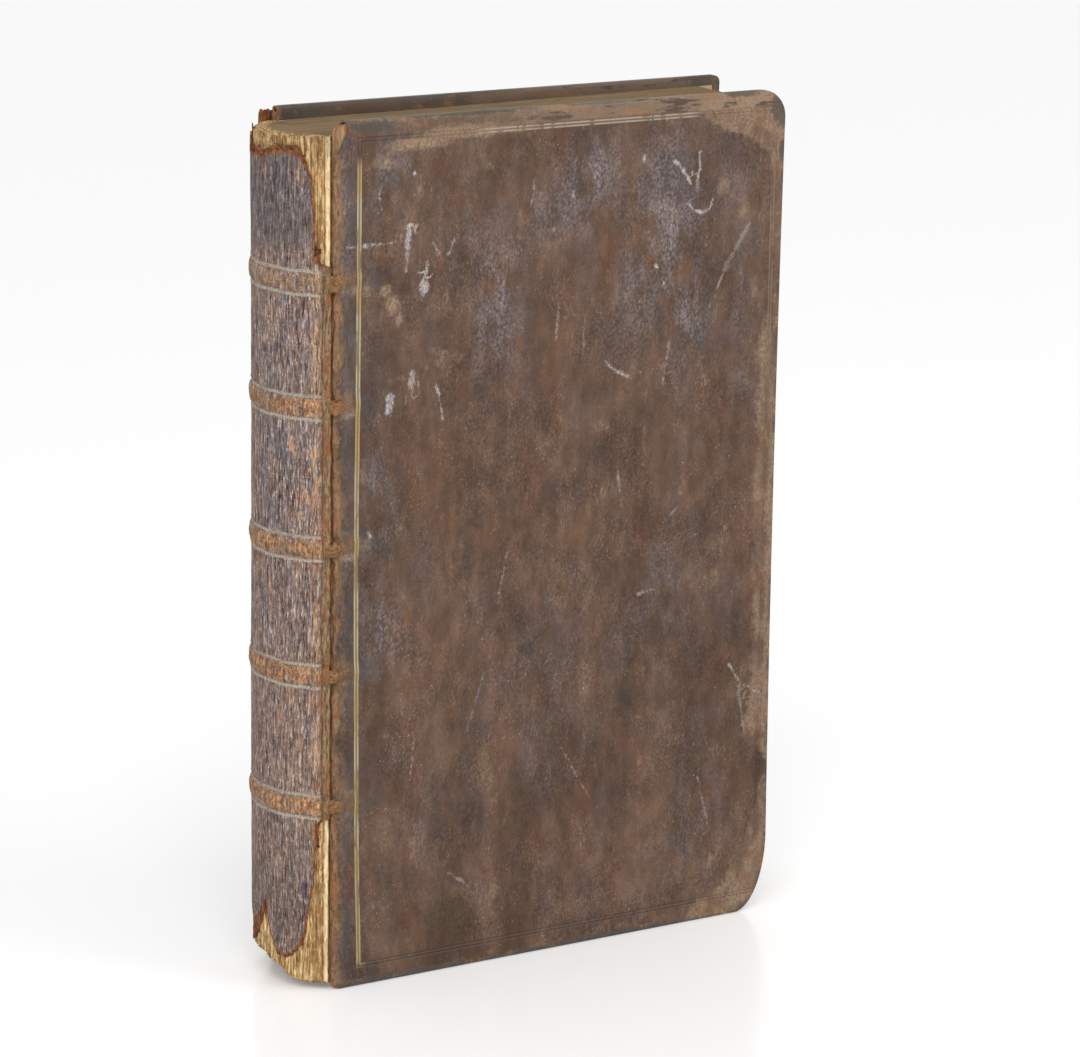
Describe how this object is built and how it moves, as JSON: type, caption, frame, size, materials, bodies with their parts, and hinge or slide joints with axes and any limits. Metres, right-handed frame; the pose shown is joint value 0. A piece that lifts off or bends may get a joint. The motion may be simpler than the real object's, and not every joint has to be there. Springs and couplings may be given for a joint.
{
  "type": "antique leather book",
  "caption": "Tall old book in full leather: rounded spine with raised bands, torn spine leather, worn covers that open on their joints.",
  "frame": {"origin": "middle of the closed book's footprint, on the surface that it stands on", "axes": "+X from the spine to the fore-edge, +Y from the front cover to the rear cover, +Z from tail to head"},
  "size_m": [0.2245, 0.0516, 0.34],
  "materials": {
    "cover_leather": "worn satin calf",
    "spine_leather": "dry and cracked calf",
    "pasteboard": "matt",
    "page_paper": "matt",
    "endpaper": "matt",
    "hemp_cord": "matt, fibrous"
  },
  "bodies": {
    "text_block": {"text_block": "page_paper", "front_flyleaf": "endpaper", "rear_flyleaf": "endpaper", "spine_leather": "spine_leather", "sewing_cord_1": "hemp_cord", "sewing_cord_2": "hemp_cord", "sewing_cord_3": "hemp_cord", "sewing_cord_4": "hemp_cord", "sewing_cord_5": "hemp_cord"},
    "front_cover": {"front_cover_leather": "cover_leather", "front_board": "pasteboard", "front_cord_slips": "hemp_cord", "front_pastedown": "endpaper"},
    "rear_cover": {"rear_cover_leather": "cover_leather", "rear_board": "pasteboard", "rear_cord_slips": "hemp_cord", "rear_pastedown": "endpaper"}
  },
  "joints": [
    {"name": "front_cover_hinge", "type": "hinge", "parent": "text_block", "child": "front_cover", "pos_m": [-0.09323, -0.0258, 0], "axis": [0, 0, -1], "range_deg": [0, 180]},
    {"name": "rear_cover_hinge", "type": "hinge", "parent": "text_block", "child": "rear_cover", "pos_m": [-0.09323, 0.0258, 0], "axis": [0, 0, 1], "range_deg": [0, 180]}
  ]
}
